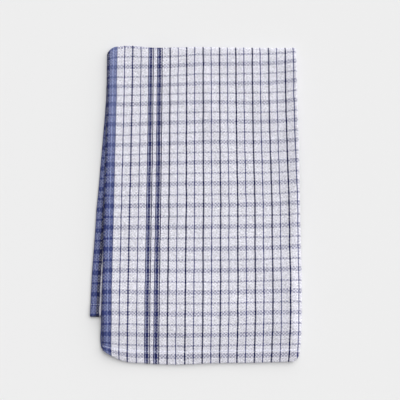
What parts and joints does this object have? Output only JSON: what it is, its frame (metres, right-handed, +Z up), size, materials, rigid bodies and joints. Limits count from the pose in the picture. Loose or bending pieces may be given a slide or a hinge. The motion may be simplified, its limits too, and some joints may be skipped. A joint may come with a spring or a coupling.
{
  "type": "folded woven tea towel",
  "caption": "Woven cotton kitchen tea towel with hemmed ends, folded in half lengthwise and then crosswise, lying flat.",
  "frame": {"origin": "centre of the folded towel's bounding box, on the surface it lies on", "axes": "+X across the folded towel towards its lengthwise fold, +Y along it towards its crosswise fold, +Z up"},
  "size_m": [0.2523, 0.3928, 0.0106],
  "materials": {
    "woven_cotton": "matt woven cotton, white ground with a navy check and navy selvedge borders"
  },
  "bodies": {
    "root": {"tea_towel": "woven_cotton"}
  },
  "joints": []
}
